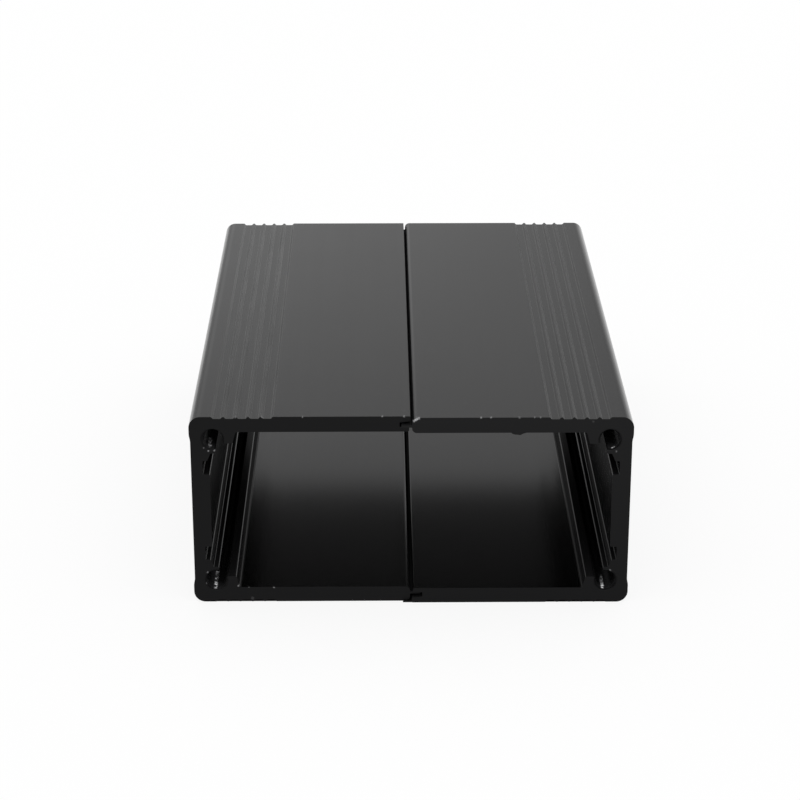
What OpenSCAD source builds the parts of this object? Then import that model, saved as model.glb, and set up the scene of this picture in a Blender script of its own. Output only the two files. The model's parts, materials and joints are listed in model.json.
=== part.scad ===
// Split extruded enclosure: two half shells cut from one aluminium extrusion.
// The second shell is the first one turned half a turn about the long axis, so each seam
// has the tongue of one shell in the groove of the other.
// The long axis lies along Y, the base stands on Z = 0 and the origin is below the centre.
// All sizes are in millimetres.

/* [Enclosure] */
// Width over both shells
body_w = 76; // [60:1:120]
// Height of the section
body_h = 35; // [30:1:80]
// Length of the longer shell
body_l = 110; // [40:1:250]
// How far the left shell's front end sits behind the right one's
front_step = 0.7; // [0:0.1:2]

/* [Walls] */
// Thickness of the top and bottom walls
plate_t = 2.8; // [2.5:0.1:3.4]
// Thickness of the side walls, from the widest outer face
side_t = 3.4; // [3:0.1:4]
// Radius of the outer long edges
corner_r = 2; // [0.5:0.1:2.2]
// Depth of the shallow recess along each side face
side_recess = 0.2; // [0.05:0.05:0.4]
// Height of the full-width band above and below the side recess
side_band = 3.4; // [2.6:0.1:5]
// Height over which the side face runs into its recess
side_ramp = 1; // [0.5:0.1:2]

/* [Surface grooves] */
// Number of grooves on each half of the top and bottom
groove_count = 5; // [1:1:5]
// Distance between the grooves' centre lines
groove_pitch = 2.15; // [1.9:0.05:2.6]
// Width of the land between two grooves, at the surface
groove_land = 0.2; // [0.15:0.05:0.5]
// Depth of a groove
groove_depth = 0.35; // [0.2:0.05:0.5]
// Lean of a groove's flanks, across the groove
groove_lean = 0.35; // [0.15:0.05:0.45]
// Distance of the outermost groove's centre line from the side face
groove_first = 4.85; // [4:0.05:6]

/* [Screw ports] */
// Diameter of the screw ports
port_d = 3.8; // [2.8:0.1:4]
// Distance of a port's axis from the side face
port_inset = 4; // [3.6:0.1:4.5]
// Distance of a port's axis from the top or bottom face
port_rise = 4.2; // [3.6:0.05:4.5]
// Height of the boss beside each port, above the wall
boss_h = 2.1; // [1.6:0.1:2.6]
// Width of the boss at its top
boss_top_w = 1.4; // [0.8:0.1:2.5]
// Extra width of the boss at its root, on the side away from the port
boss_draft = 0.55; // [0.1:0.05:1]
// Distance between the boss's top edge and the port's widest point
mouth_land = 0.15; // [0.05:0.05:0.4]
// Thickness of the ledge over the port
ledge_t = 0.65; // [0.5:0.05:1.2]
// Reach of the ledge past the port's axis
ledge_reach = 0.5; // [0.2:0.05:0.9]
// Size of the bevel round each end of a port
port_bevel = 0.15; // [0.05:0.05:0.4]

/* [Board slots] */
// Height of a board slot
slot_h = 2.5; // [1.6:0.1:3]
// Depth of a board slot into the side wall
slot_depth = 1.2; // [0.8:0.1:1.5]
// Height of the shoulder between the ledge and the slot
shoulder_h = 1.4; // [0.8:0.05:2]
// Width of the shoulder inside the slot
shoulder_w = 0.8; // [0.4:0.1:1]
// Run of the shoulder's slope
shoulder_run = 0.6; // [0.2:0.1:0.8]

/* [Seam] */
// Gap between the two shells at the outer faces
seam_gap = 0.3; // [0.1:0.05:0.4]
// Thickness of the outer lip at its root
lip_root_t = 1.15; // [1:0.05:1.3]
// Thickness of the outer lip at its tip
lip_tip_t = 0.9; // [0.6:0.05:1]
// Height of the groove at its root
seam_groove_h = 0.85; // [0.75:0.05:1]
// Depth of the groove from the middle of the seam
seam_groove_reach = 2; // [1.5:0.05:3]
// Thickness of the tongue
tongue_t = 0.4; // [0.35:0.05:0.5]
// Clearance between the tongue and the inner lip
tongue_play = 0.2; // [0.1:0.05:0.3]
// Clearance between the tongue's tip and the groove's root
tongue_tip_play = 0.3; // [0.2:0.05:0.8]
// Distance of the inner lip's tip from the middle of the seam
inner_lip_back = 0.35; // [0.2:0.05:0.6]
// Radius of the tongue side's outer edge
seam_outer_r = 0.9; // [0.3:0.1:1]
// Radius of the tongue side's inner edge
seam_inner_r = 0.8; // [0.3:0.1:0.9]

/* [Edges] */
// Radius of the small edges at the seam
edge_r = 0.15; // [0.05:0.05:0.15]
// Radius in the small inner corners of the section
root_r = 0.15; // [0.05:0.05:0.2]
// Radius of the edges of the bosses, the ledges and the slots' mouths
soft_r = 0.25; // [0.1:0.05:0.3]
// Radius at the foot of each boss
foot_r = 0.4; // [0.1:0.05:0.6]

/* [Hidden] */
$fn = 64;
shell_colour = [0.13, 0.13, 0.14];

half_w = body_w / 2;
port_r = port_d / 2;

// Heights over the outer face of the nearer wall
boss_top = plate_t + boss_h;
ledge_top = port_rise + port_r + ledge_t;
slot_floor = ledge_top + shoulder_h;
slot_roof = slot_floor + slot_h;

// Distances in from the side face
slot_back = side_t - slot_depth;
shoulder_top = slot_back + shoulder_w;
shoulder_foot = shoulder_top + shoulder_run;
ledge_tip = port_inset + ledge_reach;
boss_near = port_inset + port_r + mouth_land;
boss_far = boss_near + boss_top_w;
boss_root = boss_far + boss_draft;

// A place well inside the port, from which its mouth opens
mouth_in = port_inset + 0.8 * port_r;
mouth_up = port_rise + 0.2 * port_r;

// The seam's parts, measured from the middle of the seam and from the outer face
seam_half = seam_gap / 2;
seam_groove_in = lip_root_t + seam_groove_h;
tongue_in = seam_groove_in - tongue_play;
tongue_out = tongue_in - tongue_t;
tongue_tip = seam_groove_reach - tongue_tip_play;
seam_foot_r = min(seam_inner_r, plate_t - tongue_in - root_r);
inner_lip_r = min(2 * edge_r, plate_t - seam_groove_in - edge_r);

// Radii of the grooves' edges and the soft bends of the side face
groove_edge_r = min(0.2, groove_land);
groove_root_r = 0.3;
side_bend_r = 3;

// How far a bevel's cutting solid and a rounding sliver run past the surfaces that they meet
overcut = 0.1;

// A corner [distance from the side face, height over the bottom face, radius] of the
// right shell, and the same corner under the top face
function low(c) = [half_w - c[0], c[1], c[2]];
function high(c) = [half_w - c[0], body_h - c[1], c[2]];
function reversed(list) = [for (i = [len(list) - 1:-1:0]) list[i]];

// Groove number i, from the side face inwards
function groove(i) =
    let (mid = groove_first + i * groove_pitch, half = (groove_pitch - groove_land) / 2)
    [[mid - half, 0, groove_edge_r],
     [mid - half + groove_lean, groove_depth, groove_root_r],
     [mid + half - groove_lean, groove_depth, groove_root_r],
     [mid + half, 0, groove_edge_r]];

grooves = [for (i = [0:groove_count - 1]) each groove(i)];

// Half of the side face, from the outer edge to the recess
side_face = [[0, 0, corner_r],
             [0, side_band, side_bend_r],
             [side_recess, side_band + side_ramp, side_bend_r]];

// From the inner side face, past the slot, the ledge and the port's mouth, to the boss's foot
inside_corner = [[side_t, slot_roof, soft_r],
                 [slot_back, slot_roof, root_r],
                 [slot_back, slot_floor, root_r],
                 [shoulder_top, slot_floor, soft_r],
                 [shoulder_foot, ledge_top, root_r],
                 [ledge_tip, ledge_top, soft_r],
                 [ledge_tip, mouth_up, 0],
                 [mouth_in, mouth_up, 0],
                 [boss_near, boss_top, soft_r],
                 [boss_far, boss_top, soft_r],
                 [boss_root, plate_t, foot_r]];

// The tongue under the top face, from the outer edge of the seam to the inner one
tongue = [[seam_half, body_h, seam_outer_r],
          [seam_half, body_h - tongue_out, root_r],
          [-tongue_tip, body_h - tongue_out, edge_r],
          [-tongue_tip, body_h - tongue_in, edge_r],
          [seam_half, body_h - tongue_in, root_r],
          [seam_half, body_h - plate_t, seam_foot_r]];

// The groove in the bottom wall, from the inner edge of the seam to the outer one
seam_groove = [[inner_lip_back, plate_t, inner_lip_r],
               [inner_lip_back, seam_groove_in, edge_r],
               [seam_groove_reach, seam_groove_in, root_r],
               [seam_groove_reach, lip_root_t, root_r],
               [seam_half, lip_tip_t, edge_r],
               [seam_half, 0, edge_r]];

// The right shell's outline, counter-clockwise from the outer edge of the lower seam
outline = concat([for (c = reversed(grooves)) low(c)],
                 [for (c = side_face) low(c)],
                 [for (c = reversed(side_face)) high(c)],
                 [for (c = grooves) high(c)],
                 tongue,
                 [for (c = reversed(inside_corner)) high(c)],
                 [for (c = inside_corner) low(c)],
                 seam_groove);

// The axes of the two ports in the section
port_centre = [port_inset, port_rise, 0];
port_axes = [flat(low(port_centre)), flat(high(port_centre))];

function flat(c) = [c[0], c[1]];
function unit(v) = v / norm(v);
function turn(a, b) = a[0] * b[1] - a[1] * b[0];

// The sliver between a sharp corner and the arc that rounds it; its tip runs a little past
// the corner, so that it joins or clears both edges fully
module corner_sliver(before, corner, after, r) {
    to_before = unit(before - corner);
    to_after = unit(after - corner);
    half_angle = acos(to_before * to_after) / 2;
    run = r / tan(half_angle);
    middle = corner + unit(to_before + to_after) * r / sin(half_angle);
    tip = corner - overcut * unit(to_before + to_after);
    difference() {
        polygon([tip, corner + run * to_before, middle, corner + run * to_after]);
        translate(middle) circle(r);
    }
}

// The slivers at a closed outline's outer corners (side = 1) or inner corners (side = -1)
module slivers(corners, side) {
    n = len(corners);
    for (i = [0:n - 1]) {
        before = flat(corners[(i + n - 1) % n]);
        corner = flat(corners[i]);
        after = flat(corners[(i + 1) % n]);
        if (corners[i][2] > 0 && side * turn(corner - before, after - corner) > 0)
            corner_sliver(before, corner, after, corners[i][2]);
    }
}

// A closed counter-clockwise outline of corners [x, y, radius], with every corner rounded
module rounded(corners) {
    difference() {
        union() {
            polygon([for (c = corners) flat(c)]);
            slivers(corners, -1);
        }
        slivers(corners, 1);
    }
}

// The section that both shells are cut from, as it stands in the right shell
module half_section() {
    difference() {
        rounded(outline);
        for (axis = port_axes) translate(axis) circle(port_r);
    }
}

// The bevels round the ports' mouths at an end that faces up (way = 1) or down (way = -1)
module port_bevels(level, way) {
    for (axis = port_axes)
        translate([axis[0], axis[1], level])
            rotate([90 - 90 * way, 0, 0])
                translate([0, 0, -port_bevel - overcut])
                    cylinder(h = port_bevel + 2 * overcut,
                             r1 = port_r - overcut, r2 = port_r + port_bevel + overcut);
}

// A length of the extrusion, standing on its back end
module cut_length(length) {
    difference() {
        linear_extrude(length) half_section();
        port_bevels(0, -1);
        port_bevels(length, 1);
    }
}

// Lays a standing length down, with its back end at the enclosure's back
module lay_down() {
    translate([0, body_l / 2, 0]) rotate([90, 0, 0]) children();
}

module right_shell() {
    color(shell_colour) lay_down() cut_length(body_l);
}

module left_shell() {
    color(shell_colour) lay_down()
        translate([0, body_h, 0]) rotate(180) cut_length(body_l - front_step);
}

left_shell();
right_shell();
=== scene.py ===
import json
import math

import bpy
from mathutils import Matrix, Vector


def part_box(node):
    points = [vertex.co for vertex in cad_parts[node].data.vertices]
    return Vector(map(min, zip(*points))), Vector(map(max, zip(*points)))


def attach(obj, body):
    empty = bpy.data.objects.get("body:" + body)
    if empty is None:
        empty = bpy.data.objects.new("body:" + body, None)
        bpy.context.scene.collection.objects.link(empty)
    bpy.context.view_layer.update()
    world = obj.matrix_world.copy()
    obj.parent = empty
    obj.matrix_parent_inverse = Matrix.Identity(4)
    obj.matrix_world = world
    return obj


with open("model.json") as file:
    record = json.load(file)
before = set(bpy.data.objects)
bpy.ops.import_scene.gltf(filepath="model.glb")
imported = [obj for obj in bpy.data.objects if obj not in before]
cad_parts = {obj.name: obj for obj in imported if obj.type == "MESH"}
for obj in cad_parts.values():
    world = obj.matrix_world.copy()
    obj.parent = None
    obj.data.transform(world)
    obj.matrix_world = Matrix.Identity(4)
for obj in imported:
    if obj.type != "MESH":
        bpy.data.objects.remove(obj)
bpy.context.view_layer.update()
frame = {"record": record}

MM = 0.001
PER_MM = 1000.0

left_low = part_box("left_shell")[0]
right_low, right_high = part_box("right_shell")
TOP = right_high[2]
BACK = right_high[1]

# the section's sizes that the finish and the small pieces follow
PLATE = 2.8 * MM
PORTS = next(mount["dims"] for mount in frame["record"]["mounts"]
             if mount["name"] == "front_ports")
PORT_ASIDE = PORTS["spacing_x_mm"] / 2 * MM
PORT_ABOVE = PORTS["spacing_y_mm"] / 2 * MM
PORT_RADIUS = PORTS["hole_r_mm"] * MM

# a port's mouth onto the inside, in degrees about its axis, for the lower right port
MOUTH_MIDDLE = 131.85
MOUTH_WIDTH = 64.0

# the thread tapped in each end of each port
THREAD_PITCH = 0.7 * MM
THREAD_TURNS = 12
THREAD_START = 0.4 * MM
THREAD_CREST = 1.69 * MM
THREAD_ROOT = 1.94 * MM
THREAD_FOOT = 0.6 * MM
THREAD_STEPS = 48
CREST_SHARE = 0.25


# ---------------------------------------------------------------- small tools for node trees

def new_group(name, inputs, outputs):
    """A shader node group with its sockets; inputs hold a name, a kind and a first value."""
    group = bpy.data.node_groups.new(name, "ShaderNodeTree")
    for title, kind, value in inputs:
        made = group.interface.new_socket(name=title, in_out="INPUT", socket_type=kind)
        if value is not None:
            made.default_value = value
    for title, kind in outputs:
        group.interface.new_socket(name=title, in_out="OUTPUT", socket_type=kind)
    start = group.nodes.new("NodeGroupInput")
    end = group.nodes.new("NodeGroupOutput")
    return group, start, end


def new_material(name):
    """An empty material's tree and its shader."""
    material = bpy.data.materials.new(name)
    material.use_nodes = True
    tree = material.node_tree
    return material, tree, tree.nodes["Principled BSDF"]


def plug(tree, value, into):
    """Links an output into a socket, or sets the socket to a plain value."""
    if isinstance(value, bpy.types.NodeSocket):
        tree.links.new(value, into)
    else:
        into.default_value = value


def maths(tree, operation, *values, clamp=False):
    node = tree.nodes.new("ShaderNodeMath")
    node.operation = operation
    node.use_clamp = clamp
    for value, into in zip(values, node.inputs):
        plug(tree, value, into)
    return node.outputs[0]


def product(tree, first, *others):
    for other in others:
        first = maths(tree, "MULTIPLY", first, other)
    return first


def largest(tree, first, *others):
    for other in others:
        first = maths(tree, "MAXIMUM", first, other)
    return first


def inverse(tree, mask):
    return maths(tree, "SUBTRACT", 1.0, mask)


def distance(tree, across, up):
    """How long an offset is, from its two legs."""
    return maths(tree, "SQRT", maths(tree, "ADD", product(tree, across, across),
                                     product(tree, up, up)))


def fade(tree, value, start, end, first=0.0, last=1.0):
    """A soft step of a value, from first at start to last at end."""
    node = tree.nodes.new("ShaderNodeMapRange")
    node.interpolation_type = "SMOOTHSTEP"
    for title, item in (("Value", value), ("From Min", start), ("From Max", end),
                        ("To Min", first), ("To Max", last)):
        plug(tree, item, node.inputs[title])
    return node.outputs["Result"]


def swing(tree, pattern, middle, reach):
    """A value that moves either way from a middle, as a pattern does."""
    return fade(tree, pattern, 0.3, 0.7, middle - reach, middle + reach)


def blend_values(tree, mask, first, second):
    node = tree.nodes.new("ShaderNodeMix")
    node.data_type = "FLOAT"
    plug(tree, mask, node.inputs[0])
    plug(tree, first, node.inputs[2])
    plug(tree, second, node.inputs[3])
    return node.outputs[0]


def blend_colours(tree, mask, first, second):
    node = tree.nodes.new("ShaderNodeMix")
    node.data_type = "RGBA"
    plug(tree, mask, node.inputs[0])
    plug(tree, first, node.inputs[6])
    plug(tree, second, node.inputs[7])
    return node.outputs[2]


def split(tree, vector):
    node = tree.nodes.new("ShaderNodeSeparateXYZ")
    plug(tree, vector, node.inputs[0])
    return node.outputs


def join(tree, x, y=0.0, z=0.0):
    node = tree.nodes.new("ShaderNodeCombineXYZ")
    for value, into in zip((x, y, z), node.inputs):
        plug(tree, value, into)
    return node.outputs[0]


def stretched(tree, vector, scale, shift=(0.0, 0.0, 0.0)):
    node = tree.nodes.new("ShaderNodeMapping")
    plug(tree, vector, node.inputs["Vector"])
    node.inputs["Location"].default_value = shift
    node.inputs["Scale"].default_value = scale
    return node.outputs[0]


def noise(tree, vector, scale, detail=2.0, roughness=0.5, distortion=0.0):
    node = tree.nodes.new("ShaderNodeTexNoise")
    plug(tree, vector, node.inputs["Vector"])
    for title, value in (("Scale", scale), ("Detail", detail), ("Roughness", roughness),
                         ("Distortion", distortion)):
        plug(tree, value, node.inputs[title])
    return node.outputs[0]


def use(tree, group, **values):
    """Places a group in a tree; a value's name is its socket's."""
    node = tree.nodes.new("ShaderNodeGroup")
    node.node_tree = group
    for name, value in values.items():
        plug(tree, value, node.inputs[name])
    return node.outputs


# ---------------------------------------------------------------- groups the finishes share

# how much shorter a pattern is along the bar than across it
STREAK_SHARE = 0.012
BREAK_SHARE = 0.06
SHEEN_PATCH_STRETCH = 0.1

# the strip beside a sawn edge where burrs show, and the saw's centre below the base
BURR_STRIP = 0.2 * MM
SAW_BELOW = 160 * MM

# moves the patches of scratches off the scratches' own pattern, in metres
SCRATCH_SHIFT = (0.3, 0.1, 0.0)


def make_die_lines():
    """Lines that the extrusion die draws along the bar: long streaks, broken here and there."""
    group, start, end = new_group(
        "die_lines",
        [("Place", "NodeSocketVector", None), ("Breaks", "NodeSocketFloat", 0.5)],
        [("Streaks", "NodeSocketFloat"), ("Grain", "NodeSocketFloat")])
    place = start.outputs["Place"]
    long_way = stretched(group, place, (1.0, STREAK_SHARE, 1.0))
    fine = noise(group, long_way, 2.6 * PER_MM, 3.0, 0.6)
    wide = noise(group, long_way, 0.7 * PER_MM)
    broken = noise(group, stretched(group, place, (1.0, BREAK_SHARE, 1.0)), 0.9 * PER_MM)
    kept = blend_values(group, start.outputs["Breaks"], 1.0, fade(group, broken, 0.38, 0.62))
    lines = fade(group, fine, 0.5, 0.72)
    plug(group, product(group, lines, kept), end.inputs["Streaks"])
    both = maths(group, "MULTIPLY_ADD", wide, 0.5, product(group, fine, 0.5))
    plug(group, both, end.inputs["Grain"])
    return group


def make_sawn_ends():
    """Tells a sawn end from an extruded face, and finds the strip beside the sawn edge."""
    group, start, end = new_group(
        "sawn_ends",
        [("Place", "NodeSocketVector", None), ("Normal", "NodeSocketVector", None),
         ("Front", "NodeSocketFloat", 0.0), ("Back", "NodeSocketFloat", 0.0)],
        [("End", "NodeSocketFloat"), ("Edge", "NodeSocketFloat")])
    along = maths(group, "ABSOLUTE", split(group, start.outputs["Normal"])[1])
    on_end = fade(group, along, 0.45, 0.75)
    plug(group, on_end, end.inputs["End"])
    y = split(group, start.outputs["Place"])[1]
    from_front = maths(group, "SUBTRACT", y, start.outputs["Front"])
    to_back = maths(group, "SUBTRACT", start.outputs["Back"], y)
    nearest = maths(group, "MINIMUM", from_front, to_back)
    beside = fade(group, nearest, BURR_STRIP, 0.0)
    plug(group, product(group, beside, inverse(group, on_end)), end.inputs["Edge"])
    return group


def make_saw_marks():
    """The fine curved scoring that a circular saw leaves on a cut end."""
    group, start, end = new_group(
        "saw_marks",
        [("Place", "NodeSocketVector", None)],
        [("Scoring", "NodeSocketFloat"), ("Pits", "NodeSocketFloat")])
    place = start.outputs["Place"]
    x, _, z = split(group, place)
    reach = distance(group, x, maths(group, "ADD", z, SAW_BELOW))
    scoring = noise(group, join(group, reach), 5.2 * PER_MM, 3.0, 0.6)
    plug(group, scoring, end.inputs["Scoring"])
    plug(group, noise(group, place, 2.6 * PER_MM), end.inputs["Pits"])
    return group


def make_flecks():
    """Small specks, more or fewer as the amount says."""
    group, start, end = new_group(
        "flecks",
        [("Place", "NodeSocketVector", None), ("Scale", "NodeSocketFloat", PER_MM),
         ("Amount", "NodeSocketFloat", 0.3)],
        [("Flecks", "NodeSocketFloat")])
    grains = noise(group, start.outputs["Place"], start.outputs["Scale"], 1.0, 0.4)
    level = inverse(group, start.outputs["Amount"])
    plug(group, fade(group, grains, level, maths(group, "ADD", level, 0.06)),
         end.inputs["Flecks"])
    return group


def make_scratches():
    """Hairline handling marks that wander over a face, in patches."""
    group, start, end = new_group(
        "scratches",
        [("Place", "NodeSocketVector", None), ("Amount", "NodeSocketFloat", 0.5)],
        [("Scratches", "NodeSocketFloat")])
    place = start.outputs["Place"]
    path = noise(group, place, 0.13 * PER_MM, 1.0, 0.4, 0.6)
    off_path = maths(group, "ABSOLUTE", maths(group, "SUBTRACT", path, 0.5))
    hairline = fade(group, off_path, 0.0045, 0.0014)
    elsewhere = stretched(group, place, (1.0, 1.0, 1.0), SCRATCH_SHIFT)
    patches = noise(group, elsewhere, 0.095 * PER_MM, 1.0)
    shown = fade(group, patches, inverse(group, start.outputs["Amount"]), 0.75)
    plug(group, product(group, hairline, shown), end.inputs["Scratches"])
    return group


def make_spot():
    """A small ragged mark near one place of an end, seen along the bar."""
    group, start, end = new_group(
        "spot",
        [("Place", "NodeSocketVector", None), ("Across", "NodeSocketFloat", 0.0),
         ("Up", "NodeSocketFloat", 0.0), ("Reach", "NodeSocketFloat", 0.3 * MM)],
        [("Spot", "NodeSocketFloat")])
    place, reach = start.outputs["Place"], start.outputs["Reach"]
    x, _, z = split(group, place)
    away = distance(group, maths(group, "SUBTRACT", x, start.outputs["Across"]),
                    maths(group, "SUBTRACT", z, start.outputs["Up"]))
    ragged = maths(group, "SUBTRACT", noise(group, place, 5.0 * PER_MM, 1.0), 0.5)
    away = maths(group, "MULTIPLY_ADD", ragged, 0.4 * MM, away)
    plug(group, fade(group, away, reach, product(group, reach, 0.4)), end.inputs["Spot"])
    return group


DIE_LINES = make_die_lines()
SAWN_ENDS = make_sawn_ends()
SAW_MARKS = make_saw_marks()
FLECKS = make_flecks()
SCRATCHES = make_scratches()
SPOT = make_spot()


# ---------------------------------------------------------------- the anodised film

# the dyed film, the paler film where it is worn, and the metal in a fresh nick, which also colours
# the painted glints
DYED = (0.0125, 0.0125, 0.0130, 1.0)
RUBBED = (0.032, 0.032, 0.033, 1.0)
BARE_AND_GLINT = (0.62, 0.62, 0.63, 1.0)

# the sawn end's colour with painted light: darker at the base and lighter at the top of each half,
# the right half's top lighter still
SAWN_PAINTED_LOW = (0.0138, 0.0138, 0.0142, 1.0)
SAWN_PAINTED_HIGH_LEFT = (0.0155, 0.0155, 0.0158, 1.0)
SAWN_PAINTED_HIGH_RIGHT = (0.0192, 0.0192, 0.0196, 1.0)

# how rough the sawn ends, the grooves' flanks and the faces inside are, and how far the
# roughness swings with the scoring, the clouds and the grain
SAWN_ROUGHNESS = 0.5
FLANK_ROUGHNESS = 0.6
INNER_ROUGHNESS = 0.165
SCORING_SWING = 0.06
CLOUD_SWING = 0.012
GRAIN_SWING = 0.015

# how much there is of each mark and how strong it is; the streaks' strength is for the faces
# beside the grooved band
PLAIN_STREAKS = 0.12
SCRATCH_AMOUNT, SCRATCH_STRENGTH = 0.45, 0.7
DUST_AMOUNT, DUST_STRENGTH = 0.27, 0.9
BURR_AMOUNT, BURR_STRENGTH = 0.36, 0.12

# where the grooved band fades in and out across the body, and how deep its flanks lie
BAND_INNER = (22.2 * MM, 24.0 * MM)
BAND_OUTER = (35.2 * MM, 34.0 * MM)
FLANK_BELOW = (0.8 * MM, 0.5 * MM)

# how deep the faces inside the body start
INSIDE_BELOW = (2.5 * MM, 2.9 * MM)

# the flanks' painted sheen: where along the bar it starts and stops changing, how much the sheen
# on flanks facing left grows, and the share of it that is left in its weaker patches
TONE_FRONT = -45 * MM
TONE_BACK = 40 * MM
LEFTWARD_GROWTH = 1.3
SHEEN_PATCH_SHARE = 0.85

# where reflection is taken away as painted shade inside the corners, from the middle outward and
# below a plate, and how strongly
CORNER_INNER = (29.4 * MM, 29.6 * MM)
CORNER_OUTER = (37.6 * MM, 37.2 * MM)
CORNER_BELOW = (PLATE + 0.01 * MM, PLATE + 0.04 * MM)
CORNER_FOOT = (3.4 * MM, 3.2 * MM)
CORNER_PAINTED_SHADE = 0.75

# the same for the seam, within a plate's thickness, and for the ports
SEAM_BELOW = (0.25 * MM, 0.4 * MM)
SEAM_ABOVE = (2.62 * MM, 2.5 * MM)
SEAM_ASIDE = (3.0 * MM, 2.7 * MM)
SEAM_PAINTED_SHADE = 0.95
PORT_REACH = (PORT_RADIUS + 0.4 * MM, PORT_RADIUS + 0.2 * MM)
PORT_PAINTED_SHADE = 0.7

# the depth of the surface grain
GRAIN_DEPTH = 0.012 * MM
GRAIN_STRENGTH = 0.6

# how far in from the front end a nick and a painted glint fade out
NICK_AND_GLINT_INWARD = (0.6 * MM, 0.3 * MM)

# nicks and painted glints at the front ends: across, up, reach in mm, and how bright the metal
# shows; the spots on the rounded seam corners, the seam's inner corners, the tongue's tip, the
# left boss's edge and the port rims are painted glints, the rest are nicks
LEFT_NICKS_AND_GLINTS = (
    (-1.55, 33.25, 0.3, 0.8), (-1.2, 34.95, 0.2, 0.3), (-4.9, 34.95, 0.18, 0.35),
    (-0.55, 3.3, 0.25, 0.4), (-35.5, 5.7, 0.2, 0.2), (-35.8, 3.5, 0.2, 0.2),
    (-30.2, 3.1, 0.22, 0.3), (-28.4, 2.85, 0.2, 0.25), (-24.0, 2.8, 0.2, 0.3),
    (-27.8, 0.6, 0.35, 0.05), (-34.7, 28.75, 0.2, 0.45), (-33.7, 28.8, 0.18, 0.3),
    (-35.5, 29.3, 0.15, 0.25), (-32.4, 34.95, 0.14, 0.2), (-29.9, 34.9, 0.16, 0.3),
    (-27.5, 34.9, 0.14, 0.15), (-25.4, 34.9, 0.16, 0.3), (-18.5, 34.95, 0.12, 0.3))
RIGHT_NICKS_AND_GLINTS = (
    (0.5, 34.42, 0.28, 0.5), (0.72, 34.62, 0.28, 0.7), (0.98, 34.78, 0.28, 0.7),
    (1.3, 34.9, 0.25, 0.45),
    (11.9, 34.95, 0.2, 0.4), (13.6, 34.95, 0.16, 0.4), (18.4, 34.95, 0.25, 0.15),
    (21.0, 34.95, 0.15, 0.3), (22.0, 34.95, 0.2, 0.2), (35.1, 28.7, 0.2, 0.18),
    (0.75, 3.05, 0.22, 0.4), (34.8, 6.15, 0.2, 0.25), (31.0, 34.2, 0.25, 0.05))

# how the halves differ: where the front end lies, how rough the faces are, how strong the streaks
# are in the grooved band and how much they break up, the painted sheen on the grooves' flanks that
# face left and right and how much the latter grows toward the back, the painted light at the top
# of the sawn ends, and the nicks and painted glints
HALVES = {
    "left": {"front": left_low[1], "roughness": 0.21, "streaks": 0.8, "breaks": 1.0,
             "leftward": 0.14, "rightward": 0.13, "rightward_growth": 1.6,
             "sawn_painted_high": SAWN_PAINTED_HIGH_LEFT, "nicks_and_glints": LEFT_NICKS_AND_GLINTS},
    "right": {"front": right_low[1], "roughness": 0.17, "streaks": 0.35, "breaks": 0.4,
              "leftward": 0.106, "rightward": 0.14, "rightward_growth": 1.0,
              "sawn_painted_high": SAWN_PAINTED_HIGH_RIGHT, "nicks_and_glints": RIGHT_NICKS_AND_GLINTS}}


def flank_painted_sheen(tree, half, place, y, lean):
    """The painted sheen on a groove's flank: its tone by the way the flank faces and how far back
    it is, weaker in random patches.
    """
    sheen_patches = noise(tree, stretched(tree, place, (1.0, SHEEN_PATCH_STRETCH, 1.0)), 0.6 * PER_MM, 3.0)
    sheen_patches = blend_values(tree, half["breaks"], 1.0, fade(tree, sheen_patches, 0.3, 0.6))
    # painted sheen: flanks facing left and right get their own tones, which grow toward the back
    leftward = fade(tree, y, TONE_FRONT, TONE_BACK,
                    half["leftward"], half["leftward"] * LEFTWARD_GROWTH)
    rightward = fade(tree, y, TONE_FRONT, TONE_BACK,
                     half["rightward"], half["rightward"] * half["rightward_growth"])
    faces_right = maths(tree, "GREATER_THAN", lean, 0.0)
    tone = product(tree, blend_values(tree, faces_right, leftward, rightward),
                   blend_values(tree, sheen_patches, SHEEN_PATCH_SHARE, 1.0))
    return join(tree, tone, tone, tone)


def painted_shade_places(tree, aside, depth, height, lean):
    """Where reflection is taken away as painted shade: the flat faces of the bosses, ledges and
    slots, the seam's faces and the ports."""
    corner = product(tree, fade(tree, depth, *CORNER_BELOW), fade(tree, aside, *CORNER_INNER),
                     fade(tree, aside, *CORNER_OUTER))
    slope = maths(tree, "ABSOLUTE", lean)
    flat = largest(tree, fade(tree, slope, 0.3, 0.15), fade(tree, slope, 0.86, 0.9))
    flat = product(tree, flat, fade(tree, slope, 0.98, 0.99, 1.0, 0.6))
    foot = fade(tree, depth, *CORNER_FOOT, 0.0, 0.8)
    corner = product(tree, corner, largest(tree, flat, foot), CORNER_PAINTED_SHADE)
    seam = product(tree, fade(tree, depth, *SEAM_BELOW), fade(tree, depth, *SEAM_ABOVE),
                   fade(tree, aside, *SEAM_ASIDE), SEAM_PAINTED_SHADE)
    to_port = distance(tree, maths(tree, "SUBTRACT", aside, PORT_ASIDE),
                       maths(tree, "SUBTRACT", height, PORT_ABOVE))
    port = fade(tree, to_port, *PORT_REACH, 0.0, PORT_PAINTED_SHADE)
    return largest(tree, corner, seam, port)


def nicked_metal_and_glints(tree, half, place, y, burrs):
    """How bright the metal shows, in burrs along the sawn edges and in the front's nicks, with the
    painted glints that sit among the nicks.
    """
    shown = product(tree, burrs, BURR_STRENGTH)
    near_front = fade(tree, y, *(half["front"] + reach for reach in NICK_AND_GLINT_INWARD))
    # some of these spots are painted glints on rounded corners, edges and port rims
    for across, up, reach, bright in half["nicks_and_glints"]:
        spot = use(tree, SPOT, Place=place, Across=across * MM, Up=up * MM,
                   Reach=reach * MM)["Spot"]
        shown = largest(tree, shown, product(tree, spot, bright, near_front))
    return shown


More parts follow.
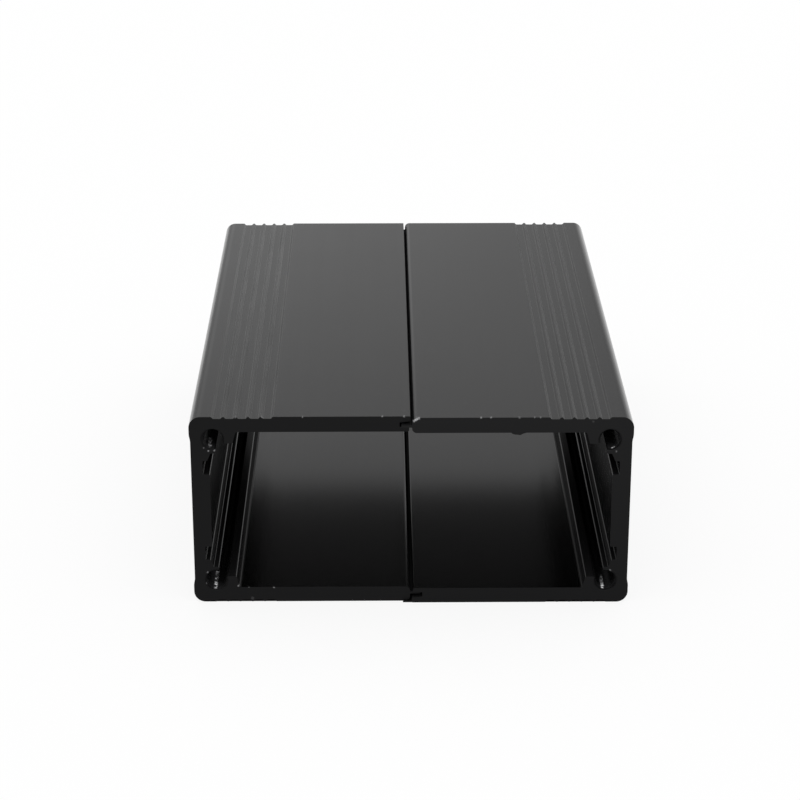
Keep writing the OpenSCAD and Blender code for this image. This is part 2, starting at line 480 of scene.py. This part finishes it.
def make_anodising(name, half):
    """Black anodising on one half, with painted sheen on the grooves' flanks, painted light on the
    sawn ends, painted shade in the corners, the seam and the ports, and painted glints among the
    nicks.
    """
    material, tree, shader = new_material(name)
    coordinates = tree.nodes.new("ShaderNodeTexCoord")
    place, normal = coordinates.outputs["Object"], coordinates.outputs["Normal"]
    x, y, z = split(tree, place)
    lean = split(tree, normal)[0]
    aside = maths(tree, "ABSOLUTE", x)
    height = maths(tree, "ABSOLUTE", maths(tree, "SUBTRACT", z, TOP / 2))
    depth = maths(tree, "SUBTRACT", TOP / 2, height)

    ends = use(tree, SAWN_ENDS, Place=place, Normal=normal, Front=half["front"], Back=BACK)
    die = use(tree, DIE_LINES, Place=place, Breaks=half["breaks"])
    saw = use(tree, SAW_MARKS, Place=place)
    scratches = use(tree, SCRATCHES, Place=place, Amount=SCRATCH_AMOUNT)["Scratches"]
    dust = use(tree, FLECKS, Place=place, Scale=1.5 * PER_MM, Amount=DUST_AMOUNT)["Flecks"]
    burrs = use(tree, FLECKS, Place=place, Scale=2.2 * PER_MM, Amount=BURR_AMOUNT)["Flecks"]

    # the grooved band keeps more of the die's streaks than the plain faces do
    in_band = product(tree, fade(tree, aside, *BAND_INNER), fade(tree, aside, *BAND_OUTER))
    strength = blend_values(tree, in_band, PLAIN_STREAKS, half["streaks"])
    marks = largest(tree, product(tree, die["Streaks"], strength),
                    product(tree, scratches, SCRATCH_STRENGTH),
                    product(tree, dust, DUST_STRENGTH))
    face = blend_colours(tree, marks, DYED, RUBBED)

    # the grooves' flanks get a painted sheen, paler than the face by the way they face and how far
    # back they are, and are rougher
    slope = maths(tree, "ABSOLUTE", lean)
    flank = product(tree, fade(tree, slope, 0.1, 0.4), in_band,
                    fade(tree, depth, *FLANK_BELOW))
    face = blend_colours(tree, flank, face, flank_painted_sheen(tree, half, place, y, lean))

    # painted light: the sawn end grows lighter from its base to its top
    sawn = blend_colours(tree, maths(tree, "DIVIDE", z, TOP), SAWN_PAINTED_LOW, half["sawn_painted_high"])
    colour = blend_colours(tree, ends["End"], face, sawn)
    spots_shown = nicked_metal_and_glints(tree, half, place, y, product(tree, ends["Edge"], burrs))
    plug(tree, blend_colours(tree, spots_shown, colour, BARE_AND_GLINT), shader.inputs["Base Color"])

    clouds = noise(tree, place, 0.045 * PER_MM, 3.0, 0.55)
    roughness = maths(tree, "ADD", swing(tree, clouds, half["roughness"], CLOUD_SWING),
                      swing(tree, die["Grain"], 0.0, GRAIN_SWING))
    roughness = blend_values(tree, flank, roughness, FLANK_ROUGHNESS)
    roughness = blend_values(tree, fade(tree, depth, *INSIDE_BELOW), roughness,
                             INNER_ROUGHNESS)
    end_roughness = swing(tree, saw["Scoring"], SAWN_ROUGHNESS, SCORING_SWING)
    roughness = blend_values(tree, ends["End"], roughness, end_roughness)
    plug(tree, roughness, shader.inputs["Roughness"])

    face_height = maths(tree, "MULTIPLY_ADD", noise(tree, place, 3.2 * PER_MM), 0.5,
                        product(tree, die["Grain"], 0.5))
    end_height = maths(tree, "MULTIPLY_ADD", saw["Pits"], 0.4,
                       product(tree, saw["Scoring"], 0.9))
    bump = tree.nodes.new("ShaderNodeBump")
    bump.inputs["Strength"].default_value = GRAIN_STRENGTH
    bump.inputs["Distance"].default_value = GRAIN_DEPTH
    plug(tree, blend_values(tree, ends["End"], face_height, end_height), bump.inputs["Height"])
    plug(tree, bump.outputs[0], shader.inputs["Normal"])

    # painted shade: metallic is lowered in the corners, the seam and the ports, so that they
    # hardly reflect
    painted_shade_mask = product(tree, painted_shade_places(tree, aside, depth, height, lean),
                   inverse(tree, ends["End"]))
    plug(tree, inverse(tree, painted_shade_mask), shader.inputs["Metallic"])
    shader.inputs["Specular IOR Level"].default_value = 0.0
    return material


finishes = {side: make_anodising(side + "_black_anodising", half)
            for side, half in HALVES.items()}
for side, finish in finishes.items():
    for slot in bpy.data.objects[side + "_shell"].material_slots:
        slot.material = finish


# ---------------------------------------------------------------- tools for shaping meshes

def deselect():
    bpy.ops.object.select_all(action="DESELECT")


def apply_transforms():
    bpy.ops.object.transform_apply(location=True, rotation=True, scale=True)


def select_vertices(item, wanted):
    """Goes into edit mode with only those vertices selected whose place is wanted."""
    bpy.ops.object.mode_set(mode="EDIT")
    bpy.context.tool_settings.mesh_select_mode = (True, False, False)
    bpy.ops.mesh.select_all(action="DESELECT")
    bpy.ops.object.mode_set(mode="OBJECT")
    for vertex in item.data.vertices:
        vertex.select = wanted(vertex.co)
    bpy.ops.object.mode_set(mode="EDIT")


def finish_piece(piece, finish):
    """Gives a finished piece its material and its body."""
    piece.data.materials.append(finish)
    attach(piece, "root")


# ---------------------------------------------------------------- the tapped threads

# where a painted glint of bare metal colour lies along a thread's crests: across from the port's
# axis, and from which depth to which, in mm
GLINTS = {("left", "lower"): (-0.3, 0.0, 8.0), ("right", "lower"): (-0.35, 0.0, 6.0),
          ("left", "upper"): (-0.55, 1.4, 5.8), ("right", "upper"): (0.6, 0.0, 0.8)}
TAPPED_METALLIC = 0.4
TAPPED_ROUGHNESS = 0.27
TAPPED_SWING = 0.07


def make_tapped_material(name, middle_x, middle_z, glint):
    """One port's thread: dark film, with a painted glint of bare metal colour along one line of
    its lower crests.
    """
    material, tree, shader = new_material(name)
    place = tree.nodes.new("ShaderNodeTexCoord").outputs["Object"]
    x, y, z = split(tree, place)
    across = maths(tree, "SUBTRACT", x, middle_x)
    up = maths(tree, "SUBTRACT", z, middle_z)
    crest = fade(tree, distance(tree, across, up), THREAD_ROOT, THREAD_CREST + 0.1 * MM)
    glint_patches = fade(tree, noise(tree, place, 1.4 * PER_MM), 0.36, 0.6)
    line_x, first, last = (size * MM for size in glint)
    off_line = maths(tree, "ABSOLUTE", maths(tree, "SUBTRACT", across, line_x))
    inward = maths(tree, "SUBTRACT", BACK, maths(tree, "ABSOLUTE", y))
    line = product(tree, fade(tree, off_line, 0.4 * MM, 0.1 * MM),
                   maths(tree, "LESS_THAN", inward, last),
                   maths(tree, "GREATER_THAN", inward, first),
                   maths(tree, "LESS_THAN", up, 0.0))
    # painted glint: bare metal colour in a strip of the lower crests
    bright = product(tree, crest, glint_patches, line)
    plug(tree, blend_colours(tree, bright, DYED, BARE_AND_GLINT), shader.inputs["Base Color"])
    plug(tree, swing(tree, noise(tree, place, 2.4 * PER_MM), TAPPED_ROUGHNESS, TAPPED_SWING),
         shader.inputs["Roughness"])
    plug(tree, blend_values(tree, bright, TAPPED_METALLIC, 1.0), shader.inputs["Metallic"])
    shader.inputs["Specular IOR Level"].default_value = 0.0
    return material


def make_thread():
    """A port's thread about the Y axis: one ridge that stops short of the port's mouth,
    swept round once and repeated along the bore."""
    deselect()
    bpy.ops.mesh.primitive_plane_add(size=1, location=((THREAD_CREST + THREAD_ROOT) / 2, 0, 0))
    ridge = bpy.context.object
    ridge.scale = (THREAD_ROOT - THREAD_CREST, THREAD_FOOT, 1)
    apply_transforms()
    select_vertices(ridge, lambda place: place.x < PORT_RADIUS)
    bpy.ops.transform.resize(value=(1, CREST_SHARE, 1))
    bpy.ops.mesh.select_all(action="SELECT")
    bpy.ops.mesh.delete(type="ONLY_FACE")
    bpy.ops.object.mode_set(mode="OBJECT")
    turn = ridge.modifiers.new("turn", "SCREW")
    turn.axis = "Y"
    turn.angle = math.radians(360.0 - MOUTH_WIDTH)
    turn.screw_offset = THREAD_PITCH * (1.0 - MOUTH_WIDTH / 360.0)
    turn.steps = turn.render_steps = THREAD_STEPS
    bpy.ops.object.modifier_apply(modifier="turn")
    bpy.ops.object.mode_set(mode="EDIT")
    bpy.ops.mesh.select_all(action="SELECT")
    bpy.ops.mesh.fill_holes(sides=4)
    bpy.ops.mesh.select_all(action="SELECT")
    bpy.ops.mesh.normals_make_consistent(inside=False)
    bpy.ops.object.mode_set(mode="OBJECT")
    repeat = ridge.modifiers.new("repeat", "ARRAY")
    repeat.use_relative_offset = False
    repeat.use_constant_offset = True
    repeat.constant_offset_displace = (0, THREAD_PITCH, 0)
    repeat.count = THREAD_TURNS
    bpy.ops.object.modifier_apply(modifier="repeat")
    bpy.ops.object.shade_smooth_by_angle(angle=math.radians(30))
    return ridge


def mouth_angle(ridge):
    """The way the gap in the ridges faces, in degrees up from the right as seen from the front."""
    count = len(ridge.data.vertices)
    across = sum(vertex.co.x for vertex in ridge.data.vertices) / count
    up = sum(vertex.co.z for vertex in ridge.data.vertices) / count
    return math.degrees(math.atan2(-up, -across))


def place_thread(model, name, place, turn_about_bore, turn_about_z, finish):
    """A copy of the thread at the mouth of one end of a port, turned by so many degrees."""
    piece = model.copy()
    piece.data = model.data.copy()
    piece.name = name
    bpy.context.scene.collection.objects.link(piece)
    piece.rotation_euler = (0, math.radians(turn_about_bore), math.radians(turn_about_z))
    piece.location = place
    deselect()
    piece.select_set(True)
    bpy.context.view_layer.objects.active = piece
    apply_transforms()
    finish_piece(piece, finish)


def place_threads():
    """One thread in each end of each of the four ports."""
    model = make_thread()
    facing = mouth_angle(model)
    for side, half in HALVES.items():
        for level in ("lower", "upper"):
            x = PORT_ASIDE if side == "right" else -PORT_ASIDE
            z = TOP / 2 + (PORT_ABOVE if level == "upper" else -PORT_ABOVE)
            wanted = MOUTH_MIDDLE if side == "right" else 180.0 - MOUTH_MIDDLE
            wanted = wanted if level == "lower" else -wanted
            port = side + "_" + level
            finish = make_tapped_material(port + "_tapped_metal", x, z, GLINTS[side, level])
            place_thread(model, port + "_front_thread", (x, half["front"] + THREAD_START, z),
                         facing - wanted, 0.0, finish)
            place_thread(model, port + "_back_thread", (x, BACK - THREAD_START, z),
                         facing - (180.0 - wanted), 180.0, finish)
    bpy.data.objects.remove(model)


place_threads()


# ---------------------------------------------------------------- the drip on the roof

DRIP_MIDDLE = (18.35 * MM, right_low[1] + 0.5 * MM, TOP - PLATE)
DRIP_HALF_SIZE = (1.4 * MM, 0.5 * MM, 0.5 * MM)
PULL_WIDTH = 0.12 * MM

# where its underside is drawn down or up: across, by how much and how far round, in mm
DRIP_PULLS = ((17.6, -0.06, 0.5), (18.6, -0.1, 0.4), (19.2, 0.08, 0.4))
DRIP_SEGMENTS = 32
DRIP_RINGS = 16


def make_drip():
    """The drip of film left on the right half's roof, just inside its front edge."""
    deselect()
    bpy.ops.mesh.primitive_uv_sphere_add(segments=DRIP_SEGMENTS, ring_count=DRIP_RINGS,
                                         radius=1, location=(0, 0, 0))
    drip = bpy.context.object
    drip.name = "right_roof_drip"
    drip.scale = DRIP_HALF_SIZE
    drip.location = DRIP_MIDDLE
    apply_transforms()
    for across, drop, reach in DRIP_PULLS:
        select_vertices(drip, lambda place: abs(place.x - across * MM) < PULL_WIDTH)
        bpy.ops.transform.translate(value=(0, 0, drop * MM), use_proportional_edit=True,
                                    proportional_edit_falloff="SMOOTH",
                                    proportional_size=reach * MM)
        bpy.ops.object.mode_set(mode="OBJECT")
    bpy.ops.object.shade_smooth()
    finish_piece(drip, finishes["right"])


make_drip()


# ---------------------------------------------------------------- camera

CAMERA_PLACE = (-5.335 * MM, right_low[1] - 367.266 * MM, 185.142 * MM)
CAMERA_DIP = 21.794
CAMERA_TURN = -0.532
CAMERA_LENS = 105.04
CAMERA_SENSOR = 36
CAMERA_NEAR = 10 * MM

camera_data = bpy.data.cameras.new("camera")
camera_data.lens = CAMERA_LENS
camera_data.sensor_width = CAMERA_SENSOR
camera_data.clip_start = CAMERA_NEAR
camera = bpy.data.objects.new("camera", camera_data)
camera.location = CAMERA_PLACE
camera.rotation_euler = (math.radians(90 - CAMERA_DIP), 0, math.radians(CAMERA_TURN))
bpy.context.scene.collection.objects.link(camera)
bpy.context.scene.camera = camera
bpy.context.scene.view_settings.view_transform = "Standard"


# ---------------------------------------------------------------- floor and light

WHITE = (1, 1, 1, 1)
FLOOR_SIZE = 12
FLOOR_PAINT = (0.94, 0.94, 0.94, 1)
FLOOR_PAINTED_SHADOW = (0.02, 0.02, 0.02, 1)
FLOOR_GLOW = 0.86

# the body stands on the floor up to this far from its sides, and its two halves' front edges meet
# here; the floor's painted shadow under the body follows these
FOOT_INSET = 3.4 * MM
FOOT_STEP_X = -1.4 * MM
FOOT_FADE = 0.15 * MM


def make_floor():
    """A plain pale floor, with a painted dark shadow where the body stands on it."""
    deselect()
    bpy.ops.mesh.primitive_plane_add(size=FLOOR_SIZE, location=(0, 0, 0))
    floor = bpy.context.object
    floor.name = "floor"
    material, tree, shader = new_material("pale_floor")
    shader.inputs["Roughness"].default_value = 1
    shader.inputs["Specular IOR Level"].default_value = 0

    x, y, _ = split(tree, tree.nodes.new("ShaderNodeTexCoord").outputs["Object"])
    beside = maths(tree, "SUBTRACT", maths(tree, "ABSOLUTE", x), right_high[0] - FOOT_INSET)
    front = blend_values(tree, maths(tree, "GREATER_THAN", x, FOOT_STEP_X), left_low[1],
                         right_low[1])
    before = maths(tree, "SUBTRACT", front, y)
    behind = maths(tree, "SUBTRACT", y, BACK)
    # painted shadow: the floor under the body is painted dark and gives no glow
    outside_painted_shadow = fade(tree, largest(tree, beside, before, behind), -FOOT_FADE, 0.0)
    plug(tree, blend_colours(tree, outside_painted_shadow, FLOOR_PAINTED_SHADOW, FLOOR_PAINT),
         shader.inputs["Base Color"])

    glow = tree.nodes.new("ShaderNodeEmission")
    glow.inputs["Color"].default_value = WHITE
    path = tree.nodes.new("ShaderNodeLightPath")
    seen = maths(tree, "ADD", path.outputs["Is Camera Ray"], path.outputs["Is Glossy Ray"],
                 clamp=True)
    seen = maths(tree, "ADD", seen, path.outputs["Is Transmission Ray"], clamp=True)
    both = tree.nodes.new("ShaderNodeMixShader")
    plug(tree, product(tree, seen, outside_painted_shadow, FLOOR_GLOW), both.inputs[0])
    plug(tree, shader.outputs[0], both.inputs[1])
    plug(tree, glow.outputs[0], both.inputs[2])
    plug(tree, both.outputs[0], tree.nodes["Material Output"].inputs["Surface"])
    floor.data.materials.append(material)


# the heights, as a share of straight up, over which one level of light gives way to the next,
# and the light overhead
TO_LOW = (0.1, 0.24)
TO_HIGH = (0.28, 0.4)
TO_OVERHEAD = (0.5, 0.75)
OVERHEAD_LIGHT = 1.25


def make_studio():
    """Plain soft light from all round: each height has its own level from left to right, and
    overhead is strongest."""
    world = bpy.data.worlds.new("studio")
    bpy.context.scene.world = world
    world.use_nodes = True
    tree = world.node_tree
    x, _, z = split(tree, tree.nodes.new("ShaderNodeTexCoord").outputs["Generated"])
    skyline = fade(tree, x, -0.5, 0.3, 0.45, 0.8)
    low = product(tree, fade(tree, x, -0.15, 0.15, 0.95, 0.5),
                  fade(tree, x, -0.4, -0.12, 0.5, 1.0))
    high = fade(tree, x, -0.5, 0.5, 0.84, 0.74)
    level = blend_values(tree, fade(tree, z, *TO_LOW), skyline, low)
    level = blend_values(tree, fade(tree, z, *TO_HIGH), level, high)
    level = blend_values(tree, fade(tree, z, *TO_OVERHEAD), level, OVERHEAD_LIGHT)
    plug(tree, level, tree.nodes["Background"].inputs["Strength"])
    tree.nodes["Background"].inputs["Color"].default_value = WHITE


make_floor()
make_studio()
